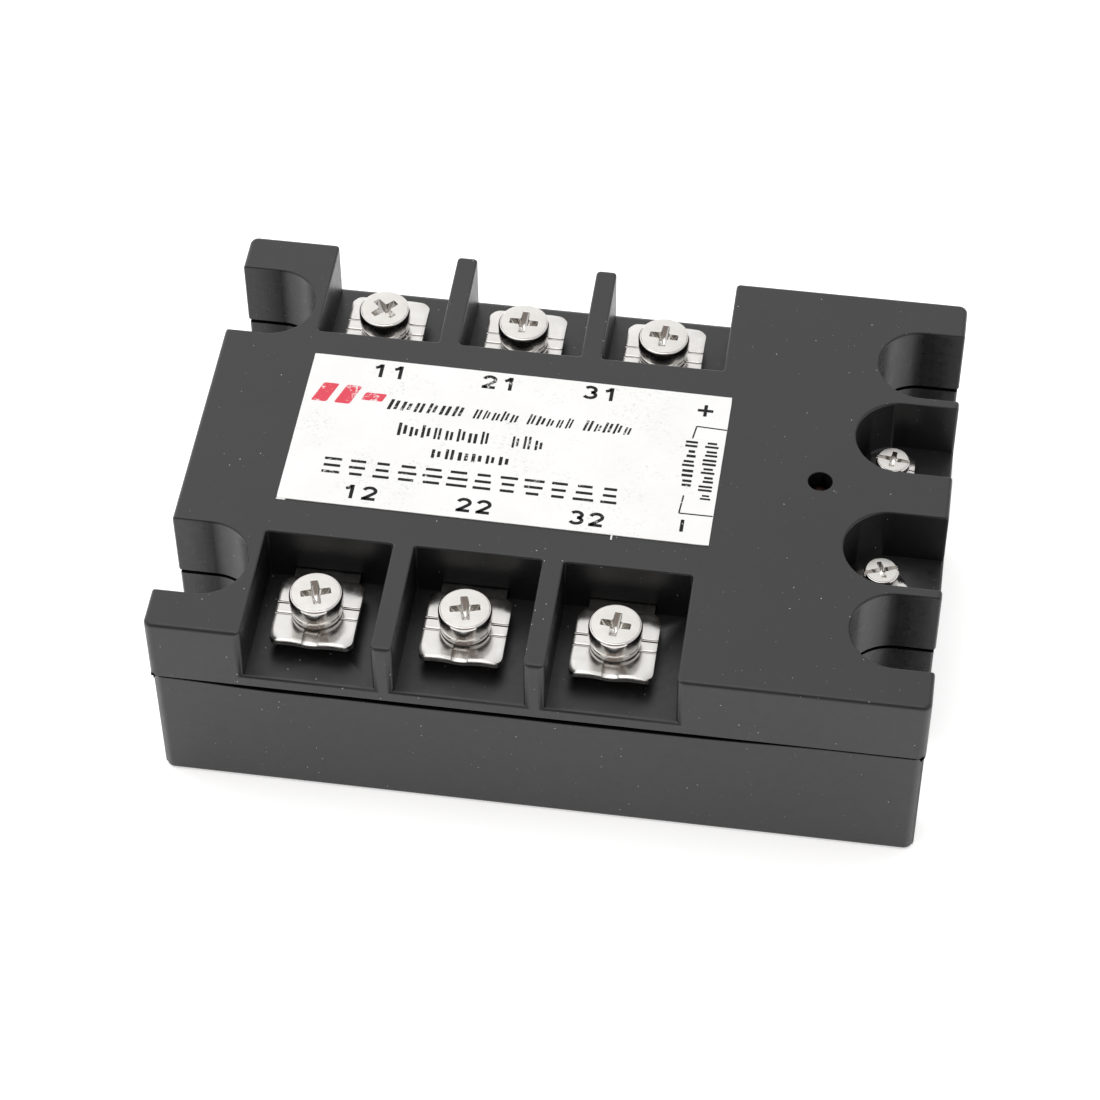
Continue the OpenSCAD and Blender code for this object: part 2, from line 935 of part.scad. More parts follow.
base_plate();
housing_base();
top_cover();
label();
output_terminal(1);  // output_terminal_1
output_terminal(2);  // output_terminal_2
output_terminal(3);  // output_terminal_3
output_terminal(4);  // output_terminal_4
output_terminal(5);  // output_terminal_5
output_terminal(6);  // output_terminal_6
output_nuts();
clamp_plate(1);  // clamp_plate_1
clamp_plate(2);  // clamp_plate_2
clamp_plate(3);  // clamp_plate_3
clamp_plate(4);  // clamp_plate_4
clamp_plate(5);  // clamp_plate_5
clamp_plate(6);  // clamp_plate_6
spring_washer(1);  // spring_washer_1
spring_washer(2);  // spring_washer_2
spring_washer(3);  // spring_washer_3
spring_washer(4);  // spring_washer_4
spring_washer(5);  // spring_washer_5
spring_washer(6);  // spring_washer_6
terminal_screw(1);  // terminal_screw_1
terminal_screw(2);  // terminal_screw_2
terminal_screw(3);  // terminal_screw_3
terminal_screw(4);  // terminal_screw_4
terminal_screw(5);  // terminal_screw_5
terminal_screw(6);  // terminal_screw_6
input_terminal(1);  // input_terminal_plus
input_terminal(-1);  // input_terminal_minus
input_nuts();
input_clamp_plate(1);  // input_clamp_plate_plus
input_clamp_plate(-1);  // input_clamp_plate_minus
input_spring_washer(1);  // input_spring_washer_plus
input_spring_washer(-1);  // input_spring_washer_minus
input_screw(1);  // input_screw_plus
input_screw(-1);  // input_screw_minus
ceramic_substrates();
copper_pads();
thyristor_dies();
copper_straps();
gate_pins();
control_board();
optocouplers();
gate_resistors();
snubber_capacitors();
snubber_resistors();
input_transistor();
protection_diode();
input_resistor();
status_led();
potting_compound();
base_plate_screws();
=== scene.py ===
import math
import random

import bmesh
import bpy
from mathutils import Matrix, Vector, noise


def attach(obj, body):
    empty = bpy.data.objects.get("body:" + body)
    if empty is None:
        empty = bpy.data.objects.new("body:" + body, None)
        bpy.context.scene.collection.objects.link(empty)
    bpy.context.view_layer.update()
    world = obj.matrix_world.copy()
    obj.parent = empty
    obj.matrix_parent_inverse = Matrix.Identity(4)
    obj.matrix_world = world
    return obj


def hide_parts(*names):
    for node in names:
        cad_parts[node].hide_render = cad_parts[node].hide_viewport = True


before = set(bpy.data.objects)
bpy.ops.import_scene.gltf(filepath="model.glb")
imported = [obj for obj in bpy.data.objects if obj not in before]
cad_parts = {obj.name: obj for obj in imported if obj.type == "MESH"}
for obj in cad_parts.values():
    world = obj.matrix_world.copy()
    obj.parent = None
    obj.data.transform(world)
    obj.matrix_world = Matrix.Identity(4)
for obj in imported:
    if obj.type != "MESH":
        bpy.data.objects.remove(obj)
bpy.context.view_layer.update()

MM = 0.001
scene = bpy.context.scene
rng = random.Random(11)

# Sizes below are millimetres from the frame's origin, which is the middle of the underside.
COVER_HALF_X, COVER_HALF_Y, COVER_TOP = 52.5, 37.2, 32.0
BASE_HALF_X, BASE_HALF_Y = 52.1, 36.8
SEAM_Z = 21.0
BAY_FLOOR_Z = 23.0
BAY_X, BAY_PITCH, BAY_Y = -31.0, 20.35, 27
INPUT_X, INPUT_Y = 44.1, 10.25
OUT_HEAD_Z, OUT_WASHER_Z = 27.2, 26.15
IN_HEAD_Z, IN_WASHER_Z = 25.5, 24.775
LAMP_HOLE = Vector((34.5, 0.5))
NOTCH_END_X, NOTCH_Y, NOTCH_HALF = 40.3, 24.5, 6.4


# ---------- shader helpers ----------

def material(name, **constants):
    """A node material with its Principled shader's constant values set on its sockets."""
    m = bpy.data.materials.new(name)
    m.use_nodes = True
    shader = m.node_tree.nodes["Principled BSDF"]
    for key, value in constants.items():
        shader.inputs[key.replace("_", " ")].default_value = value
    coord = m.node_tree.nodes.new("ShaderNodeTexCoord").outputs["Object"]
    return m, m.node_tree, shader, coord


def noise_fac(nt, vector, size, detail=3.0, roughness=0.5, stretch=None):
    """Noise whose features are about size millimetres across."""
    if stretch:
        mapping = nt.nodes.new("ShaderNodeMapping")
        mapping.inputs["Scale"].default_value = stretch
        nt.links.new(vector, mapping.inputs["Vector"])
        vector = mapping.outputs["Vector"]
    n = nt.nodes.new("ShaderNodeTexNoise")
    n.inputs["Scale"].default_value = 1 / (size * MM)
    n.inputs["Detail"].default_value = detail
    n.inputs["Roughness"].default_value = roughness
    nt.links.new(vector, n.inputs["Vector"])
    return n.outputs["Fac"]


def span(nt, value, low, high, to_low, to_high):
    """value mapped from low..high to to_low..to_high and held at the ends."""
    r = nt.nodes.new("ShaderNodeMapRange")
    for key, v in zip(("From Min", "From Max", "To Min", "To Max"), (low, high, to_low, to_high)):
        r.inputs[key].default_value = v
    nt.links.new(value, r.inputs["Value"])
    return r.outputs["Result"]


def ramp(nt, value, stops):
    """Colour ramp over value; stops are pairs of place and colour."""
    r = nt.nodes.new("ShaderNodeValToRGB")
    while len(r.color_ramp.elements) < len(stops):
        r.color_ramp.elements.new(0.5)
    for e, (at, colour) in zip(r.color_ramp.elements, stops):
        e.position = at
        e.color = (*colour, 1)
    nt.links.new(value, r.inputs["Fac"])
    return r.outputs["Color"]


def mix(nt, factor, a, b):
    """a where factor is 0 and b where it is 1; a and b are sockets or colours."""
    n = nt.nodes.new("ShaderNodeMix")
    n.data_type = "RGBA"
    nt.links.new(factor, n.inputs["Factor"])
    # the node has a set of sockets for each data type: these are the colour ones
    a_socket, b_socket, result = n.inputs[6], n.inputs[7], n.outputs[2]
    for socket, v in ((a_socket, a), (b_socket, b)):
        if isinstance(v, tuple):
            socket.default_value = (*v, 1)
        else:
            nt.links.new(v, socket)
    return result


def maths(nt, kind, a, b=None):
    """Math node; a and b are sockets or numbers."""
    n = nt.nodes.new("ShaderNodeMath")
    n.operation = kind
    for socket, v in zip(n.inputs, (a, b)):
        if v is None:
            continue
        if isinstance(v, (int, float)):
            socket.default_value = v
        else:
            nt.links.new(v, socket)
    return n.outputs["Value"]


def bump(nt, height, depth, strength=1.0, under=None):
    """Bump of depth micrometres, on top of the normal under."""
    b = nt.nodes.new("ShaderNodeBump")
    b.inputs["Strength"].default_value = strength
    b.inputs["Distance"].default_value = depth * 1e-6
    nt.links.new(height, b.inputs["Height"])
    if under:
        nt.links.new(under, b.inputs["Normal"])
    return b.outputs["Normal"]


def specks(nt, vector, cell, radius, share):
    """1 on ragged specks of about radius; a share of the cells, cell millimetres wide, has one."""
    wobble = nt.nodes.new("ShaderNodeTexNoise")
    wobble.inputs["Scale"].default_value = 1 / (0.25 * MM)
    nt.links.new(vector, wobble.inputs["Vector"])
    v = nt.nodes.new("ShaderNodeTexVoronoi")
    v.inputs["Scale"].default_value = 1 / (cell * MM)
    nt.links.new(vector, v.inputs["Vector"])
    ragged = maths(nt, "MULTIPLY", wobble.outputs["Fac"], radius / cell)
    near = maths(nt, "LESS_THAN", maths(nt, "ADD", v.outputs["Distance"], ragged), 1.4 * radius / cell)
    pick = nt.nodes.new("ShaderNodeSeparateColor")
    nt.links.new(v.outputs["Color"], pick.inputs["Color"])
    return maths(nt, "MULTIPLY", near, maths(nt, "LESS_THAN", pick.outputs["Red"], share))


# ---------- materials ----------

def plastic(name, dark, light, rough, streaks=0.0, dust=0.16, dusty_spot=None, shine=0.56):
    """Black moulded plastic: spark-eroded grain, faint flow blotches, dust specks.

    streaks adds vertical drawing marks with painted pale sheen along them, and dusty_spot is a place
    where grit has gathered.
    """
    m, nt, shader, at = material(name, Specular_IOR_Level=shine)
    blotch = noise_fac(nt, at, 14, 4, 0.6)
    colour = ramp(nt, blotch, [(0.3, dark), (0.72, light)])
    grain = noise_fac(nt, at, 0.16, 2, 0.6)
    soft = noise_fac(nt, at, 1.1, 4, 0.6)
    normal = bump(nt, grain, 9, 0.55)
    normal = bump(nt, soft, 10, 0.35, normal)
    roughness = span(nt, soft, 0.3, 0.7, rough - 0.05, rough + 0.06)
    if streaks:
        drawn = noise_fac(nt, at, 0.9, 3, 0.7, stretch=(1, 1, 0.03))
        normal = bump(nt, drawn, 12 * streaks, 1.0, normal)
        # painted sheen: paler streaks along the drawing marks
        streak_sheen = tuple(min(1.0, 2.3 * c + 0.006) for c in light)
        colour = mix(nt, span(nt, drawn, 0.45, 0.75, 0, 0.8 * streaks), colour, streak_sheen)
    if dust:
        colour = mix(nt, specks(nt, at, 1.3, 0.085, 1.5 * dust), colour, (0.5, 0.5, 0.49))
        colour = mix(nt, specks(nt, at, 0.8, 0.045, 2.0 * dust), colour, (0.36, 0.36, 0.36))
    if dusty_spot:
        away = nt.nodes.new("ShaderNodeVectorMath")
        away.operation = "DISTANCE"
        nt.links.new(at, away.inputs[0])
        away.inputs[1].default_value = Vector(dusty_spot) * MM
        near = span(nt, away.outputs["Value"], 0.5 * MM, 4.5 * MM, 1, 0)
        grit = maths(nt, "MULTIPLY", specks(nt, at, 0.8, 0.07, 0.3),
                     maths(nt, "GREATER_THAN", near, 0.3))
        colour = mix(nt, grit, colour, (0.62, 0.62, 0.6))
    nt.links.new(colour, shader.inputs["Base Color"])
    nt.links.new(roughness, shader.inputs["Roughness"])
    nt.links.new(normal, shader.inputs["Normal"])
    return m


def metal(name, low, high, rough, mottle=0.5, depth=3.0, brushed=None, spots=None):
    """Plated or bare metal: tumbled micro texture, mottled tone and roughness."""
    m, nt, shader, at = material(name, Metallic=1.0)
    cloud = noise_fac(nt, at, 2.2, 4, 0.65)
    fine = noise_fac(nt, at, 0.12, 3, 0.6, stretch=brushed)
    scratch = noise_fac(nt, at, 0.3, 2, 0.5, stretch=(1.0, 0.08, 0.3))
    colour = ramp(nt, cloud, [(0.32, low), (0.68, high)])
    if spots:
        spotted = span(nt, noise_fac(nt, at, 1.1, 5, 0.7), 0.62, 0.75, 0, 0.55)
        colour = mix(nt, spotted, colour, spots)
    nt.links.new(colour, shader.inputs["Base Color"])
    nt.links.new(span(nt, cloud, 0.3, 0.7, rough - 0.05 * mottle, rough + 0.12 * mottle),
                 shader.inputs["Roughness"])
    normal = bump(nt, fine, depth, 0.5)
    nt.links.new(bump(nt, scratch, depth * 0.8, 0.4, normal), shader.inputs["Normal"])
    return m


def coated(name, low, high, rough, size=1.5, depth=6.0, grain=0.12, **more):
    """Painted, moulded, fired or glazed body: two tones, uneven gloss, fine texture."""
    m, nt, shader, at = material(name, **more)
    cloud = noise_fac(nt, at, size, 4, 0.6)
    fine = noise_fac(nt, at, grain, 2, 0.6)
    nt.links.new(ramp(nt, cloud, [(0.3, low), (0.7, high)]), shader.inputs["Base Color"])
    nt.links.new(span(nt, cloud, 0.3, 0.7, rough - 0.05, rough + 0.08), shader.inputs["Roughness"])
    nt.links.new(bump(nt, fine, depth, 0.5), shader.inputs["Normal"])
    return m


def worn_print(name, ink, paper, wear):
    """Thermal print that has rubbed off here and there; a higher wear rubs off less."""
    m, nt, shader, at = material(name, Specular_IOR_Level=0.15)
    rubbed = noise_fac(nt, at, 0.55, 5, 0.75)
    patch = noise_fac(nt, at, 7, 2, 0.5)
    gone = maths(nt, "ADD", rubbed, maths(nt, "MULTIPLY", patch, 0.5))
    nt.links.new(mix(nt, span(nt, gone, wear, wear + 0.06, 0, 1), ink, paper),
                 shader.inputs["Base Color"])
    nt.links.new(span(nt, rubbed, 0.3, 0.7, 0.35, 0.5), shader.inputs["Roughness"])
    nt.links.new(bump(nt, rubbed, 4, 0.4), shader.inputs["Normal"])
    return m


def label_film(name):
    """White sticker: satin film with faint grey rub marks."""
    m, nt, shader, at = material(name)
    cloud = noise_fac(nt, at, 9, 3, 0.6)
    smear = noise_fac(nt, at, 0.5, 6, 0.8)
    area = noise_fac(nt, at, 5, 2, 0.5)
    mark = maths(nt, "MULTIPLY", span(nt, smear, 0.54, 0.64, 0, 1),
                 span(nt, area, 0.46, 0.66, 0, 0.5))
    white = ramp(nt, cloud, [(0.3, (0.85, 0.85, 0.845)), (0.7, (0.9, 0.9, 0.895))])
    colour = mix(nt, mark, white, (0.42, 0.42, 0.42))
    nt.links.new(colour, shader.inputs["Base Color"])
    nt.links.new(span(nt, cloud, 0.3, 0.7, 0.34, 0.44), shader.inputs["Roughness"])
    nt.links.new(bump(nt, noise_fac(nt, at, 2.5, 3, 0.5), 12, 0.35), shader.inputs["Normal"])
    return m


BLACK = plastic("housing_black", (0.0068, 0.0068, 0.0076), (0.0095, 0.0095, 0.0104), rough=0.37,
                dusty_spot=(-29.2, -36.8, 5.3))
# painted shade: a darker, duller copy of the housing plastic for the deep walls of the input pockets
PLASTIC_POCKET_SHADE = plastic("housing_painted_pocket_shade", (0.006, 0.006, 0.0068), (0.009, 0.009, 0.0098), rough=0.62,
                     dust=0.03, shine=0.18)
# real drawing marks as bumps; its paler tone and pale streaks are painted sheen of the notch walls
PLASTIC_DRAWN_AND_SHEEN = plastic("housing_drawn_painted_sheen", (0.0085, 0.0085, 0.0092), (0.016, 0.016, 0.017), rough=0.3,
                      streaks=0.35, dust=0.02)
# painted shade: a near-black copy of the housing plastic for the inside of the seam between cover and
# base
SEAM_PAINTED_SHADE = coated("housing_painted_seam_shade", (0.001, 0.001, 0.001), (0.003, 0.003, 0.003), rough=0.8,
                    size=2.0, depth=4.0, Specular_IOR_Level=0.1)
NICKEL = metal("nickel_plated", (0.585, 0.57, 0.548), (0.655, 0.642, 0.622), rough=0.17,
               mottle=0.8, depth=3.0)
NICKEL_BRIGHT = metal("nickel_bright", (0.60, 0.58, 0.555), (0.68, 0.665, 0.645), rough=0.1,
                      mottle=0.5, depth=2.0)
NICKEL_MATT = metal("nickel_face", (0.59, 0.573, 0.545), (0.655, 0.64, 0.616), rough=0.32,
                    mottle=0.8, depth=6.0)
# painted shade: a darkened copy of the nickel for the output terminals, which lie in shade under the
# clamp plates
NICKEL_PAINTED_SHADE = metal("nickel_painted_shade", (0.13, 0.127, 0.125), (0.19, 0.186, 0.18), rough=0.3,
                    mottle=0.8, depth=4.0)
ZINC = metal("zinc_plated", (0.60, 0.61, 0.62), (0.72, 0.72, 0.71), rough=0.3,
             mottle=1.0, depth=5.0, spots=(0.50, 0.50, 0.46))
ALUMINIUM = metal("base_aluminium", (0.66, 0.67, 0.68), (0.76, 0.765, 0.77), rough=0.32,
                  mottle=0.8, depth=7.0, brushed=(0.05, 1.0, 1.0))
COPPER = metal("copper", (0.72, 0.40, 0.25), (0.86, 0.52, 0.36), rough=0.28,
               mottle=1.0, depth=5.0, spots=(0.45, 0.24, 0.15))
SILICON = metal("silicon_die", (0.30, 0.31, 0.35), (0.42, 0.43, 0.47), rough=0.22,
                mottle=0.5, depth=1.5)
CERAMIC = coated("ceramic", (0.80, 0.80, 0.77), (0.88, 0.88, 0.86), rough=0.5, size=2.0, depth=5.0)
BOARD = coated("board_green", (0.015, 0.10, 0.045), (0.03, 0.16, 0.07), rough=0.38,
               size=3.0, depth=8.0, grain=0.5)
PACKAGE = coated("component_black", (0.012, 0.012, 0.012), (0.022, 0.022, 0.022), rough=0.48,
                 size=0.8, depth=7.0)
TAN = coated("resistor_tan", (0.55, 0.42, 0.24), (0.68, 0.54, 0.33), rough=0.36, size=1.0, depth=4.0)
YELLOW = coated("capacitor_yellow", (0.62, 0.36, 0.05), (0.74, 0.46, 0.09), rough=0.28,
                size=2.0, depth=4.0)
BLUE = coated("resistor_blue", (0.10, 0.24, 0.36), (0.16, 0.33, 0.46), rough=0.32, size=1.0, depth=4.0)
LAMP = coated("lamp_red", (0.009, 0.001, 0.001), (0.015, 0.0015, 0.0015), rough=0.4,
              size=1.0, depth=2.0, Specular_IOR_Level=0.3)
GEL = coated("potting_gel", (0.035, 0.035, 0.045), (0.06, 0.06, 0.07), rough=0.3,
             size=6.0, depth=12.0, grain=1.5)
FILM = label_film("label_film")
INK = worn_print("label_ink", (0.010, 0.0095, 0.0105), (0.72, 0.72, 0.715), wear=0.885)
INK_ROWS = worn_print("label_ink_rows", (0.012, 0.0115, 0.0125), (0.72, 0.72, 0.715), wear=0.865)
RED = worn_print("label_red", (0.74, 0.075, 0.11), (0.85, 0.8, 0.8), wear=0.84)

# the housing shells' material slots, in this order
SHELL_MATERIALS = (BLACK, PLASTIC_POCKET_SHADE, PLASTIC_DRAWN_AND_SHEEN, SEAM_PAINTED_SHADE)
POCKET_SHADE_SLOT, DRAWN_SHEEN_SLOT, SEAM_SHADE_SLOT = 1, 2, 3


# ---------- mesh helpers ----------

def link(name, bm_or_mesh, *materials):
    """A new object in the scene with that mesh and those materials."""
    if isinstance(bm_or_mesh, bmesh.types.BMesh):
        mesh = bpy.data.meshes.new(name)
        bm_or_mesh.to_mesh(mesh)
        bm_or_mesh.free()
    else:
        mesh = bm_or_mesh
    mesh.materials.clear()
    for m in materials:
        mesh.materials.append(m)
    obj = bpy.data.objects.new(name, mesh)
    scene.collection.objects.link(obj)
    return obj


def smooth(obj, angle=32):
    """Shades smooth, with edges sharper than angle degrees kept sharp."""
    mesh = obj.data
    mesh.shade_smooth()
    mesh.set_sharp_from_angle(angle=math.radians(angle))


def clean_copy(node):
    """The CAD node's mesh as a bmesh, in metres, with its flat faces made whole."""
    bm = bmesh.new()
    bm.from_mesh(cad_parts[node].data)
    bmesh.ops.remove_doubles(bm, verts=bm.verts, dist=2e-6)
    bmesh.ops.dissolve_limit(bm, angle_limit=math.radians(0.6), verts=bm.verts, edges=bm.edges)
    bmesh.ops.recalc_face_normals(bm, faces=bm.faces)
    return bm


def baked(obj):
    """obj's mesh with its modifiers applied; obj is removed."""
    bpy.context.view_layer.update()
    dg = bpy.context.evaluated_depsgraph_get()
    mesh = bpy.data.meshes.new_from_object(obj.evaluated_get(dg))
    bpy.data.objects.remove(obj)
    return mesh


def step(low, high, x):
    """0 below low, 1 above high and smooth between."""
    t = min(1.0, max(0.0, (x - low) / (high - low)))
    return t * t * (3 - 2 * t)


def stitch(bm, rings):
    """Quads between each closed ring of vertices and the next; returns the faces."""
    faces = []
    for a, b in zip(rings, rings[1:]):
        for k in range(len(a)):
            j = (k + 1) % len(a)
            faces.append(bm.faces.new((a[k], a[j], b[j], b[k])))
    return faces


def slice_at(bm, point, normal):
    """Cuts the whole mesh's faces along a plane, so that they can bend there."""
    bmesh.ops.bisect_plane(bm, geom=bm.verts[:] + bm.edges[:] + bm.faces[:],
                           plane_co=point, plane_no=normal, dist=1e-7)


def bevelled(obj, weight_of, width, segments=4):
    """Rounds edges: weight_of(vertex a, vertex b, convex) is the share of width, 0 to 1."""
    mesh = obj.data
    bm = bmesh.new()
    bm.from_mesh(mesh)
    layer = bm.edges.layers.float.new("bevel_weight_edge")
    for e in bm.edges:
        if len(e.link_faces) == 2 and math.degrees(e.calc_face_angle(0)) > 25:
            a, b = (v.co / MM for v in e.verts)
            e[layer] = weight_of(a, b, e.is_convex)
    bm.to_mesh(mesh)
    bm.free()
    mod = obj.modifiers.new("rounding", "BEVEL")
    mod.limit_method = "WEIGHT"
    mod.width = width * MM
    mod.segments = segments
    mod.use_clamp_overlap = False
    mod.miter_outer = "MITER_ARC"
    return obj


# ---------- housing ----------

def on_rim(p, half_x, half_y):
    """Whether p is on the outline, the rounded corners included."""
    corner = abs(p.x) > half_x - 1.25 and abs(p.y) > half_y - 1.25
    return corner or abs(p.x) > half_x - 0.05 or abs(p.y) > half_y - 0.05


def is_upright(a, b):
    return abs(a.z - b.z) > 1 and (a.xy - b.xy).length < 0.05


def cover_weight(a, b, _):
    """How far the cover's edge from a to b is rounded."""
    rim = on_rim(a, COVER_HALF_X, COVER_HALF_Y) and on_rim(b, COVER_HALF_X, COVER_HALF_Y)
    face = COVER_TOP - 0.1
    if is_upright(a, b) and max(a.z, b.z) > face:
        partition_end = abs(a.y) > COVER_HALF_Y - 0.1 and abs(a.x) < COVER_HALF_X - 2.5
        return 1.0 if partition_end else 0.36
    if a.z > face and b.z > face:
        if (a.xy - LAMP_HOLE).length < 2.2:
            return 0.13
        return 0.65 if rim else 0.33
    if rim and abs(a.z - BAY_FLOOR_Z) < 0.02 and abs(b.z - BAY_FLOOR_Z) < 0.02:
        return 0.29
    if rim and SEAM_Z < a.z < SEAM_Z + 0.15 and b.z < SEAM_Z + 0.15:
        return 0.18
    return 0


def base_weight(a, b, convex):
    """How far the base's edge from a to b is rounded."""
    rim = on_rim(a, BASE_HALF_X, BASE_HALF_Y) and on_rim(b, BASE_HALF_X, BASE_HALF_Y)
    if rim and max(a.z, b.z) < 0.25:
        return 0.8
    if rim and min(a.z, b.z) > SEAM_Z - 1.3 and convex:
        return 0.35
    if rim and is_upright(a, b) and abs(a.z - b.z) > 10:
        return 0.5
    return 0


def square_normals(obj):
    """Flat faces shade flat; only the roundings between them shade smooth."""
    mod = obj.modifiers.new("normals", "WEIGHTED_NORMAL")
    mod.keep_sharp = True
    mod.weight = 100


def mark_drawn_sheen_walls(mesh):
    """Walls of the mounting notches take the drawn plastic, made paler with painted sheen."""
    for p in mesh.polygons:
        c = p.center / MM
        in_notch = abs(c.x) > NOTCH_END_X and abs(abs(c.y) - NOTCH_Y) < NOTCH_HALF
        on_end = abs(p.normal.x) > 0.99 and abs(c.x) > 48
        if abs(p.normal.z) < 0.2 and in_notch and not on_end:
            p.material_index = DRAWN_SHEEN_SLOT


def mark_pocket_shade(mesh):
    """Walls of the two input pockets take painted shade: a darker, duller copy of the black plastic."""
    for p in mesh.polygons:
        c = p.center / MM
        in_pocket = 36 < c.x < COVER_HALF_X - 0.1 and abs(c.y) < 16.5 and 22.5 < c.z < COVER_TOP - 0.4
        on_end = p.normal.x > 0.97 and c.x > 46
        if abs(p.normal.z) < 0.4 and in_pocket and not on_end:
            p.material_index = POCKET_SHADE_SLOT


def mark_seam_shade(mesh, up):
    """Faces that look into the seam, and the cover's lip behind it, take painted shade: a near-black copy
    of the plastic where the gap lies in shade.
    """
    for p in mesh.polygons:
        z = p.center.z / MM
        faces_seam = p.normal.z * up > 0.7 and SEAM_Z - 1.5 < z < SEAM_Z + 0.3
        on_lip = up < 0 and SEAM_Z - 2.6 < z < SEAM_Z + 0.05
        if faces_seam or on_lip:
            p.material_index = SEAM_SHADE_SLOT


def rounded_shell(name, bm, weight_of, width):
    """The shell with its edges rounded, its faces shaded flat and its walls marked."""
    mesh = baked(bevelled(link(name, bm), weight_of, width))
    shell = link(name, mesh, *SHELL_MATERIALS)
    mark_drawn_sheen_walls(shell.data)
    mark_pocket_shade(shell.data)
    smooth(shell)
    square_normals(shell)
    return shell


cover = rounded_shell("cover_shell", clean_copy("top_cover"), cover_weight, 0.95)
mark_seam_shade(cover.data, -1)
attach(cover, "housing")
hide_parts("top_cover")

base_bm = clean_copy("housing_base")
# cut every 4 mm, so that the rim can bend
for x in range(-48, 52, 4):
    slice_at(base_bm, (x * MM, 0, 0), (1, 0, 0))
bmesh.ops.remove_doubles(base_bm, verts=base_bm.verts, dist=0.06 * MM)
for v in base_bm.verts:
    p = v.co / MM
    if p.z > SEAM_Z - 0.4:
        # the seam stands open: wide at the middle of the front, closing toward its ends
        opening = 0.25
        if p.y < -34:
            opening = 0.2 + 0.62 * step(-52.5, -34, p.x) * (1 - step(14, 44, p.x)) \
                + 0.03 * math.sin(0.3 * p.x)
        v.co.z -= opening * MM
    if abs(p.x) > BASE_HALF_X - 0.05:
        # the ends stand almost flush with the cover
        v.co.x += math.copysign(0.2 * MM, p.x)
base = rounded_shell("base_shell", base_bm, base_weight, 0.6)
mark_seam_shade(base.data, 1)
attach(base, "housing")
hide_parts("housing_base")


# ---------- label ----------

LABEL_AT = Vector((-9.1, 0.8))
LABEL_TURN = math.radians(-0.6)
FILM_HALF_L, FILM_HALF_W = 29.85, 13.85
LABEL_Z = COVER_TOP + 0.01
FILM_T = 0.13
PRINT_LOW, PRINT_HIGH = COVER_TOP + 0.12, COVER_TOP + 0.152


def label_point(x, y):
    """Label millimetres, from the label's own middle, to frame millimetres."""
    c, s = math.cos(LABEL_TURN), math.sin(LABEL_TURN)
    return LABEL_AT.x + c * x - s * y, LABEL_AT.y + s * x + c * y


def add_slab(bm, outline, low=PRINT_LOW, high=PRINT_HIGH):
    """Closed thin slab with that outline, counter-clockwise, in label millimetres."""
    rings = []
    for z in (low, high):
        rings.append([bm.verts.new((*(MM * v for v in label_point(x, y)), z * MM)) for x, y in outline])
    bm.faces.new(rings[1])
    bm.faces.new(rings[0][::-1])
    stitch(bm, rings)


def rounded(x, y, w, h, r, slant=0.0, n=3):
    """Rounded rectangle outline centred at x, y, sheared by slant."""
    pts = []
    for k, (sx, sy) in enumerate(((1, 1), (-1, 1), (-1, -1), (1, -1))):
        for i in range(n + 1):
            a = math.pi / 2 * (k + i / n)
            px = sx * (w / 2 - r) + r * math.cos(a)
            py = sy * (h / 2 - r) + r * math.sin(a)
            pts.append((x + px + slant * py, y + py))
    return pts


def rough_side(start, end, count):
    """Points from start up to end, a little off the straight line as a cutter leaves them."""
    start, end = Vector(start), Vector(end)
    along = end - start
    outward = Vector((along.y, -along.x)).normalized()
    pts = []
    for i in range(count):
        p = start + along * (i / count)
        pts.append(p + outward * 0.03 * (noise.noise(Vector((p.x, p.y, 3.0))) - 1))
    return pts


def build_film():
    """The sticker with rough die-cut edges, and two slivers that the cutter left at its front edge."""
    bm = bmesh.new()
    l, w, cut = FILM_HALF_L, FILM_HALF_W, 0.08
    outline = rough_side((cut - l, -w), (l - cut, -w), 60) + rough_side((l, cut - w), (l, w - cut), 28) \
        + rough_side((l - cut, w), (cut - l, w), 60) + rough_side((-l, w - cut), (-l, cut - w), 28)
    add_slab(bm, outline, LABEL_Z, LABEL_Z + FILM_T)
    bmesh.ops.recalc_face_normals(bm, faces=bm.faces)
    add_slab(bm, rounded(16.6, -w - 0.3, 0.22, 1.0, 0.08), LABEL_Z, LABEL_Z + 0.08)
    add_slab(bm, rounded(-29.2, -w - 0.1, 1.3, 0.22, 0.08), LABEL_Z, LABEL_Z + 0.08)
    return bm


film = link("label_sheet", build_film(), FILM)
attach(film, "housing")
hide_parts("label")


def ribbon(bm, points, width):
    """A printed stroke of even width along points, in label millimetres."""
    rings = []
    for i, (x, y) in enumerate(points):
        x0, y0 = points[max(0, i - 1)]
        x1, y1 = points[min(len(points) - 1, i + 1)]
        d = math.hypot(x1 - x0, y1 - y0)
        nx, ny = -(y1 - y0) / d * width / 2, (x1 - x0) / d * width / 2
        ring = []
        for sx, z in ((-1, PRINT_LOW), (1, PRINT_LOW), (1, PRINT_HIGH), (-1, PRINT_HIGH)):
            px, py = label_point(x + sx * nx, y + sx * ny)
            ring.append(bm.verts.new((px * MM, py * MM, z * MM)))
        rings.append(ring)
    ends = [bm.faces.new(rings[0][::-1]), bm.faces.new(rings[-1])]
    bmesh.ops.recalc_face_normals(bm, faces=ends + stitch(bm, rings))


def arc(cx, cy, rx, ry, a0, a1, n=12):
    """Points on an ellipse from a0 to a1 degrees."""
    turns = [math.radians(a0 + (a1 - a0) * i / n) for i in range(n + 1)]
    return [(cx + rx * math.cos(a), cy + ry * math.sin(a)) for a in turns]


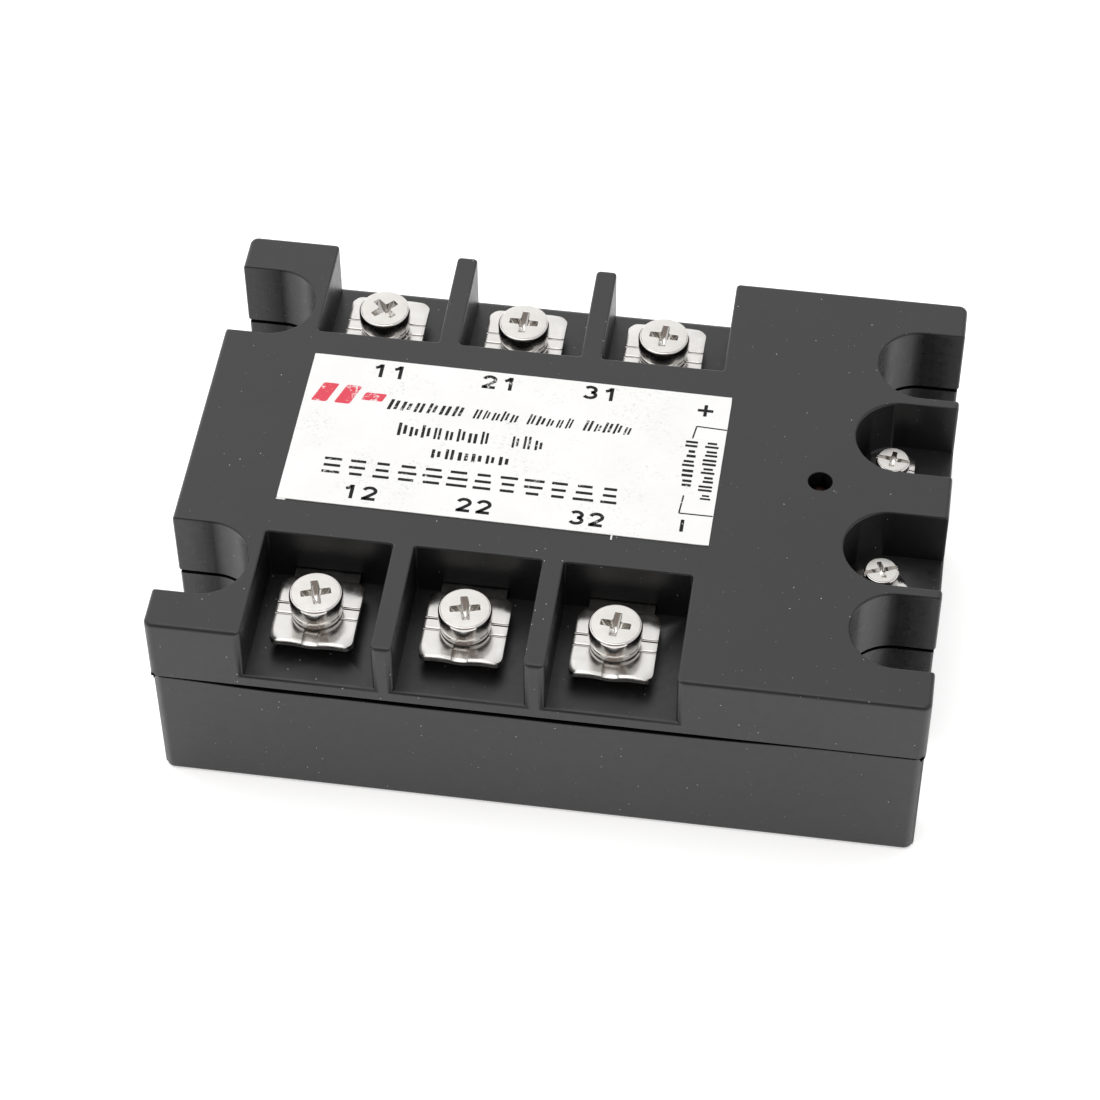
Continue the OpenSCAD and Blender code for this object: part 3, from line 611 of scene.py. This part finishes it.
# strokes of each numeral in a box one wide and one high, centred on the origin
NUMERALS = {
    "1": [[(0.14, -0.5), (0.14, 0.5)], [(-0.3, 0.2), (-0.08, 0.27), (0.08, 0.42)]],
    "2": [arc(0, 0.17, 0.4, 0.24, 170, -30) + [(-0.02, -0.2), (-0.36, -0.41)],
          [(-0.48, -0.41), (0.46, -0.41)]],
    "3": [arc(0, 0.2, 0.37, 0.21, 150, -80), arc(0, -0.2, 0.41, 0.22, 80, -155)],
}


def numerals(bm, text, x, y, height, width, pitch, stroke):
    """Plain bold numerals centred at x, y, one every pitch."""
    for i, c in enumerate(text):
        cx = x + (i - (len(text) - 1) / 2) * pitch
        for path in NUMERALS[c]:
            ribbon(bm, [(cx + px * width, y + py * height) for px, py in path], stroke)


def word(bm, x0, x1, y, height, count, slant=0.0, upright=False):
    """A generic stand-in for a printed word: two plain strokes for each character."""
    pitch = (x1 - x0) / count
    for i in range(count):
        tall = height * rng.choice((1.0, 0.76, 0.76, 1.0, 0.9))
        w = pitch * rng.uniform(0.56, 0.8)
        cx = x0 + pitch * (i + 0.5)
        cy = y - (height - tall) / 2
        for k in (-1, 1):
            stroke = rounded(cx + k * 0.3 * w, cy, 0.34 * w, tall, 0.08, slant)
            add_slab(bm, [(-py, px) for px, py in stroke] if upright else stroke)
            tall *= rng.choice((0.7, 0.85, 1.0))


# terminal numbers, and a plus and a minus at the input end
marks = bmesh.new()
for text, x, y in (("11", -18.8, 11.75), ("21", -3.05, 11.85), ("31", 11.3, 11.95),
                   ("12", -18.7, -11.3), ("22", -2.8, -11.45), ("32", 12.75, -11.45)):
    numerals(marks, text, x, y, 2.5, 2.0, 2.75, 0.52)
SIGN_Y, SIGN_LENGTH, SIGN_WIDTH = 10.8, 2.2, 0.5
add_slab(marks, rounded(26.4, SIGN_Y, SIGN_LENGTH, SIGN_WIDTH, 0.1))
for side in (1, -1):
    add_slab(marks, rounded(26.4, SIGN_Y + 0.68 * side, SIGN_WIDTH, 0.84, 0.1))
add_slab(marks, rounded(25.8, -SIGN_Y, SIGN_WIDTH, SIGN_LENGTH, 0.1))
print_marks = link("label_marks", marks, INK)

# stand-ins for the printed words, three rows of dashes, and the thin lines of the input's bracket
rows = bmesh.new()
for x0, x1, n in ((-17.9, -6.9, 6), (-5.7, 0.8, 5), (1.9, 8.6, 5), (9.9, 16.8, 5)):
    word(rows, x0, x1, 5.6, 2.0, n, 0.22)
for x0, x1, n in ((-15.8, -2.5, 8), (0.2, 5.1, 3)):
    word(rows, x0, x1, 1.15, 2.4, n)
word(rows, -10.5, 0.9, -2.5, 2.1, 6)
for i in range(12):
    cx = -23.4 + i * 3.52
    for y in (-5.7, -6.9, -8.1):
        add_slab(rows, rounded(cx, y, rng.uniform(1.7, 2.9), 0.48, 0.1))
word(rows, -3.9, 5.2, -25.25, 1.7, 5, upright=True)
word(rows, -6.1, 5.2, -28.1, 1.9, 7, upright=True)
for x0, y0, x1, y1 in ((25.55, 7.7, 29.8, 7.55), (25.25, 5.35, 25.55, 7.7),
                       (25.1, -8.6, 29.75, -8.55), (25.35, -5.3, 25.1, -8.6)):
    dx, dy = x1 - x0, y1 - y0
    d = math.hypot(dx, dy)
    nx, ny = -dy / d * 0.11, dx / d * 0.11
    add_slab(rows, [(x0 - nx, y0 - ny), (x1 - nx, y1 - ny), (x1 + nx, y1 + ny), (x0 + nx, y0 + ny)])
print_rows = link("label_rows", rows, INK_ROWS)

# three plain leaning blocks in place of the printed sign
accent = bmesh.new()
for cx, width, height in ((-27.0, 2.2, 3.6), (-23.7, 2.2, 3.6), (-20.0, 3.0, 1.5)):
    add_slab(accent, rounded(cx, 6.6, width, height, 0.25, slant=0.35))
print_accent = link("label_accent", accent, RED)
for obj in (print_marks, print_rows, print_accent):
    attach(obj, "housing")


# ---------- terminal screws ----------

def cross_ring(reach, arm):
    """Outline of a four-armed cross with filleted inner corners."""
    a = arm / 2
    f = 0.35 * a
    quarter = ((reach - 0.3 * f, -a), (reach, -a + 0.5 * f), (reach, a - 0.5 * f), (reach - 0.3 * f, a),
               (a + 2.2 * f, a), (a + 0.6 * f, a + 0.6 * f))
    pts = []
    for q in range(4):
        for px, py in quarter:
            for _ in range(q):
                px, py = -py, px
            pts.append((px, py))
    return pts


def cross_tool(reach, arm, depth):
    """Tapered four-armed cutter, mouth at z = 0, in millimetres."""
    bm = bmesh.new()
    rings = []
    for z, k_reach, k_arm in ((0.6, 1.04, 1.1), (0, 1.0, 1.0), (-0.55 * depth, 0.74, 0.86),
                              (-depth, 0.42, 0.7)):
        rings.append([bm.verts.new((x, y, z)) for x, y in cross_ring(reach * k_reach, arm * k_arm)])
    stitch(bm, rings[::-1])
    bm.faces.new(rings[0])
    tip = bm.verts.new((0, 0, -1.22 * depth))
    last = rings[-1]
    for i in range(len(last)):
        bm.faces.new((tip, last[(i + 1) % len(last)], last[i]))
    bmesh.ops.recalc_face_normals(bm, faces=bm.faces)
    return bm


def slot_tool(length, width, depth):
    """Tapered straight cutter, mouth at z = 0, in millimetres."""
    bm = bmesh.new()
    bmesh.ops.create_cube(bm, size=1)
    for v in bm.verts:
        above = v.co.z > 0
        v.co = Vector((v.co.x * length, v.co.y * width * (1.15 if above else 0.85),
                       0.5 if above else -depth))
    return bm


def head_profile(head_d, face_d, head_h, shank_r):
    """Radius and height pairs from the middle of the head's top, down its side, to the shank."""
    R, F = head_d / 2, face_d / 2
    shoulder = head_h - 0.06
    profile = [(F * 0.5, head_h), (F - 0.2, head_h), (F - 0.05, head_h - 0.015), (F, shoulder)]
    for i in range(1, 8):
        t = math.pi / 2 * i / 7
        profile.append((F + (R - F - 0.03) * math.sin(t), shoulder - 0.17 * head_h * (1 - math.cos(t))))
    return profile + [(R - 0.01, 0.6 * head_h), (R, 0.45 * head_h), (R - 0.02, 0.24 * head_h),
                      (R - 0.08, 0.1 * head_h), (R - 0.2, 0.03), (R - 0.36, 0), (shank_r + 0.25, 0),
                      (shank_r + 0.03, -0.04), (shank_r - 0.12, -0.2)]


def screw_mesh(name, head_d, face_d, head_h, shank_r, shank_l, pitch, reach, arm, slot=0):
    """Pan head screw with a flat top, rolled thread and cross recess; z = 0 under the head."""
    sides = 72
    turns = [2 * math.pi * k / sides for k in range(sides)]
    bm = bmesh.new()

    def ring(radii, z):
        return [bm.verts.new((r * math.cos(a), r * math.sin(a), z)) for r, a in zip(radii, turns)]

    rings = [ring([r] * sides, z) for r, z in head_profile(head_d, face_d, head_h, shank_r)]
    rows_per_turn = 8
    start, end = -0.55, 0.55 - shank_l
    count = int((start - end) / (pitch / rows_per_turn))
    for i in range(count + 1):
        z = start + (end - start) * i / count
        fade = step(0, 6, i) * step(0, 6, count - i)
        radii = []
        for k in range(sides):
            phase = (z / pitch - k / sides) % 1.0
            groove = min(1.0, max(0.0, (abs(phase - 0.5) * 2 - 0.12) / 0.66))
            radii.append(shank_r - 0.12 * (1 - fade) - 0.5 * pitch * groove * fade)
        rings.append(ring(radii, z))
    for r, z in ((shank_r - 0.45, 0.1 - shank_l), (shank_r - 0.75, -shank_l)):
        rings.append(ring([r] * sides, z))
    stitch(bm, rings[::-1])
    bm.faces.new(rings[0])
    bm.faces.new(rings[-1][::-1])
    body = link(name, bm, NICKEL_BRIGHT, NICKEL_MATT)
    cutters = [link("cutter", cross_tool(reach, arm, 0.55 * head_h), NICKEL_MATT)]
    if slot:
        cutters.append(link("cutter", slot_tool(head_d * 1.2, slot, 0.3 * head_h), NICKEL_MATT))
    for cutter in cutters:
        cutter.location.z = head_h
        mod = body.modifiers.new("recess", "BOOLEAN")
        mod.operation = "DIFFERENCE"
        mod.solver = "EXACT"
        mod.object = cutter
    mesh = baked(body)
    for cutter in cutters:
        bpy.data.objects.remove(cutter)
    mesh.materials.clear()
    mesh.materials.append(NICKEL_BRIGHT)
    mesh.materials.append(NICKEL_MATT)
    for p in mesh.polygons:
        p.material_index = 1 if p.center.z > head_h - 0.015 else 0
    mesh.transform(Matrix.Scale(MM, 4))
    return mesh


def place(name, mesh, at, turn, body, node, soften=0.0):
    """A copy of mesh at at, turned about Z, in place of a CAD node; soften rounds its edges."""
    obj = bpy.data.objects.new(name, mesh.copy())
    scene.collection.objects.link(obj)
    obj.matrix_world = Matrix.Translation(Vector(at) * MM) @ Matrix.Rotation(math.radians(turn), 4, "Z")
    smooth(obj)
    if soften:
        mod = obj.modifiers.new("rounding", "BEVEL")
        mod.limit_method = "ANGLE"
        mod.angle_limit = math.radians(38)
        mod.width = soften * MM
        mod.segments = 2
    bpy.context.view_layer.update()
    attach(obj, body)
    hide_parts(node)


OUT_SCREW = screw_mesh("out_screw", head_d=7.4, face_d=6.7, head_h=2.9, shank_r=1.95, shank_l=10,
                       pitch=0.7, reach=2.08, arm=1.0)
IN_SCREW = screw_mesh("in_screw", head_d=4.8, face_d=4.3, head_h=1.8, shank_r=1.47, shank_l=8,
                      pitch=0.5, reach=1.45, arm=0.68, slot=0.6)


# ---------- spring washers ----------

def washer_mesh(name, outer, inner, low, high, rise):
    """Split spring washer, its ends a little apart in height; slit toward +Y."""
    bm = bmesh.new()
    segments = 72
    slit = 0.5 / outer
    mid, w = (outer + inner) / 2, (outer - inner) / 2
    h = high - low - rise
    c = 0.2 * min(h, w)
    section = [(-w, c), (c - w, 0), (w - c, 0), (w, c), (w, h - c), (w - c, h), (c - w, h), (-w, h - c)]
    rings = []
    for i in range(segments + 1):
        t = i / segments
        a = math.pi / 2 + slit / 2 + (2 * math.pi - slit) * t
        rings.append([bm.verts.new(((mid + x) * math.cos(a), (mid + x) * math.sin(a), low + rise * t + z))
                      for x, z in section])
    stitch(bm, rings)
    bm.faces.new(rings[0][::-1])
    bm.faces.new(rings[-1])
    bmesh.ops.recalc_face_normals(bm, faces=bm.faces)
    bmesh.ops.scale(bm, vec=(MM, MM, MM), verts=bm.verts)
    mesh = bpy.data.meshes.new(name)
    bm.to_mesh(mesh)
    bm.free()
    mesh.materials.append(NICKEL_BRIGHT)
    return mesh


OUT_WASHER = washer_mesh("out_washer", outer=3.45, inner=2.08, low=0.01, high=0.99, rise=0.14)
IN_WASHER = washer_mesh("in_washer", outer=2.35, inner=1.6, low=0.01, high=0.69, rise=0.1)

# the six output terminals, the back row first, and how far each screw head is turned
OUT = [(BAY_X + BAY_PITCH * k, side * BAY_Y) for side in (1, -1) for k in range(3)]
TURNS = [45, -2.5, -4, 17, 12.5, -5]
for i, ((x, y), turn) in enumerate(zip(OUT, TURNS), 1):
    place(f"screw_m4_{i}", OUT_SCREW, (x, y, OUT_HEAD_Z), turn, f"screw_{i}", f"terminal_screw_{i}",
          soften=0.05)
    place(f"lock_washer_{i}", OUT_WASHER, (x, y, OUT_WASHER_Z), 0, f"clamp_{i}",
          f"spring_washer_{i}")
INPUT = {"plus": (INPUT_X, INPUT_Y, -8), "minus": (INPUT_X, -INPUT_Y, 20)}
for key, (x, y, turn) in INPUT.items():
    place(f"screw_m3_{key}", IN_SCREW, (x, y, IN_HEAD_Z), turn, f"input_screw_{key}",
          f"input_screw_{key}", soften=0.04)
    place(f"lock_washer_{key}", IN_WASHER, (x, y, IN_WASHER_Z), 0, f"input_clamp_{key}",
          f"input_spring_washer_{key}")


# ---------- clamp plates ----------

def press(u, w, bend, seed):
    """Height that pressing adds at u, w, which run from -1 to 1 across the plate; +w is its mouth."""
    wave = 0.5 - 0.5 * math.cos(2 * math.pi * min(1.0, abs(u)))
    dz = bend * step(0.6, 1.0, w) * (0.55 * wave - 0.5 * (1 - wave) * (abs(u) < 0.5) - 0.3)
    dz -= bend * 0.8 * step(0.78, 1.0, abs(u)) * step(0.55, 1.0, abs(w))
    dz -= bend * 0.35 * step(0.7, 1.0, -w)
    dz += 0.03 * noise.noise(Vector((2.2 * u, 2.2 * w, seed)))
    return dz * step(0.36, 0.6, math.hypot(u, w))


def clamp_piece(name, node, centre, half, turn, body, bend, seed):
    """The CAD plate pressed into its wavy shape, with rounded edges."""
    bm = clean_copy(node)
    to_local = Matrix.Rotation(-math.radians(turn), 4, "Z") @ Matrix.Translation(
        -Vector((*centre, 0)) * MM)
    bmesh.ops.transform(bm, matrix=to_local, verts=bm.verts)
    edges = [e for e in bm.edges if len(e.link_faces) == 2 and math.degrees(e.calc_face_angle(0)) > 40
             and min(v.co.xy.length for v in e.verts) > 0.45 * half * MM]
    bmesh.ops.bevel(bm, geom=edges, offset=0.09 * MM, segments=2, profile=0.5, affect="EDGES",
                    clamp_overlap=True)
    # cut into a grid, a hair off the middle lines, so that the plate can bend
    cells = 9
    for normal in ((1, 0, 0), (0, 1, 0)):
        for k in range(1 - cells, cells):
            slice_at(bm, Vector(normal) * (k * half / cells * MM + 1e-6), normal)
    for v in bm.verts:
        v.co.z += press(v.co.x / MM / half, v.co.y / MM / half, bend, seed) * MM
    bmesh.ops.transform(bm, matrix=to_local.inverted(), verts=bm.verts)
    bmesh.ops.recalc_face_normals(bm, faces=bm.faces)
    obj = link(name, bm, NICKEL)
    smooth(obj, 30)
    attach(obj, body)
    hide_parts(node)


for i, (x, y) in enumerate(OUT, 1):
    clamp_piece(f"pressure_plate_{i}", f"clamp_plate_{i}", (x, y), half=5.7, turn=0 if y > 0 else 180,
                body=f"clamp_{i}", bend=0.3, seed=3.1 * i)
for key, (x, y, _) in INPUT.items():
    clamp_piece(f"pressure_plate_{key}", f"input_clamp_plate_{key}", (x, y), half=3.15,
                turn=-90 if key == "plus" else -62, body=f"input_clamp_{key}", bend=0.16, seed=9.0 + x)


# ---------- pieces that keep their CAD shape ----------

def finish_node(name, surface, width):
    """Gives a CAD node its material and rounds its edges by width."""
    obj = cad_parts[name]
    mesh = obj.data
    if not mesh.materials:
        mesh.materials.append(None)
    for k in range(len(mesh.materials)):
        mesh.materials[k] = surface
    mod = obj.modifiers.new("rounding", "BEVEL")
    mod.limit_method = "ANGLE"
    mod.angle_limit = math.radians(35)
    mod.width = width * MM
    mod.segments = 2


# the output terminals take the nickel with painted shade
for i in range(1, 7):
    finish_node(f"output_terminal_{i}", NICKEL_PAINTED_SHADE, 0.15)
for name, surface, width in (
        ("input_terminal_plus", NICKEL, 0.08), ("input_terminal_minus", NICKEL, 0.08),
        ("output_nuts", ZINC, 0.2), ("input_nuts", ZINC, 0.15),
        ("base_plate", ALUMINIUM, 0.25), ("base_plate_screws", ZINC, 0.04),
        ("ceramic_substrates", CERAMIC, 0.05), ("copper_pads", COPPER, 0.04),
        ("thyristor_dies", SILICON, 0.03), ("copper_straps", COPPER, 0.06),
        ("gate_pins", COPPER, 0.06), ("control_board", BOARD, 0.06),
        ("optocouplers", PACKAGE, 0.12), ("gate_resistors", TAN, 0.15),
        ("snubber_capacitors", YELLOW, 0.4), ("snubber_resistors", BLUE, 0.2),
        ("input_transistor", PACKAGE, 0.12), ("protection_diode", PACKAGE, 0.15),
        ("input_resistor", TAN, 0.15), ("status_led", LAMP, 0.05), ("potting_compound", GEL, 0.15)):
    finish_node(name, surface, width)


# ---------- floor, light, camera ----------

floor_mat, nt, shader, at = material("floor_white", Specular_IOR_Level=0.2, Emission_Strength=0.46)
shader.inputs["Emission Color"].default_value = (1, 1, 1, 1)
floor_white = ramp(nt, noise_fac(nt, at, 60, 3, 0.5), [(0.3, (0.9, 0.9, 0.9)), (0.7, (0.93, 0.93, 0.93))])
nt.links.new(floor_white, shader.inputs["Base Color"])
nt.links.new(span(nt, noise_fac(nt, at, 8, 3, 0.5), 0.3, 0.7, 0.6, 0.7), shader.inputs["Roughness"])
bm = bmesh.new()
bmesh.ops.create_grid(bm, x_segments=1, y_segments=1, size=3.0)
floor = link("floor", bm, floor_mat)

world = bpy.data.worlds.new("studio")
scene.world = world
world.use_nodes = True
nt = world.node_tree
background = nt.nodes["Background"]
heading = nt.nodes.new("ShaderNodeTexCoord").outputs["Generated"]


def toward(direction):
    """Cosine of the angle between where the ray goes and direction."""
    n = nt.nodes.new("ShaderNodeVectorMath")
    n.operation = "DOT_PRODUCT"
    nt.links.new(heading, n.inputs[0])
    n.inputs[1].default_value = Vector(direction).normalized()
    return n.outputs["Value"]


# a pale room, brightest above the back left, with the dim shape of whoever holds the camera
glow = maths(nt, "POWER", span(nt, toward((-0.5, 0.72, 0.48)), -0.3, 1.0, 0, 1), 2.6)
aside = maths(nt, "ABSOLUTE", toward((0.99, 0.137, 0)))
ahead = maths(nt, "SUBTRACT", toward((0.137, -0.99, 0)), maths(nt, "MULTIPLY", aside, 1.45))
person = span(nt, ahead, 0.0, 0.16, 0, 1)
nt.links.new(mix(nt, person, (1.0, 1.0, 1.0), (1.0, 0.86, 0.78)), background.inputs["Color"])
nt.links.new(maths(nt, "MULTIPLY", span(nt, glow, 0, 1, 0.75, 1.5), span(nt, person, 0, 1, 1.0, 0.42)),
             background.inputs["Strength"])

# one large soft light above the front left, aimed at the middle of the relay
light = bpy.data.lights.new("softbox_top", "AREA")
light.shape = "RECTANGLE"
light.size, light.size_y = 900 * MM, 600 * MM
light.energy = 2.1
softbox = bpy.data.objects.new("softbox_top", light)
scene.collection.objects.link(softbox)
softbox.location = Vector((-100, -80, 900)) * MM
softbox.rotation_euler = (Vector((0, 0, 20)) * MM - softbox.location).to_track_quat("-Z", "Y").to_euler()

# the photograph's viewpoint, found by matching the relay's corners
camera_data = bpy.data.cameras.new("camera")
camera_data.sensor_width = 36
camera_data.lens = 112.51
camera_data.clip_start = 0.02
camera_data.clip_end = 20
camera = bpy.data.objects.new("camera", camera_data)
scene.collection.objects.link(camera)
camera.location = Vector((43.699, -315.951, 385.162)) * MM
camera.rotation_euler = (math.radians(40.5618), math.radians(0.2729), math.radians(8.1023))
scene.camera = camera
scene.view_settings.view_transform = "Standard"
scene.view_settings.look = "None"

bpy.context.view_layer.update()
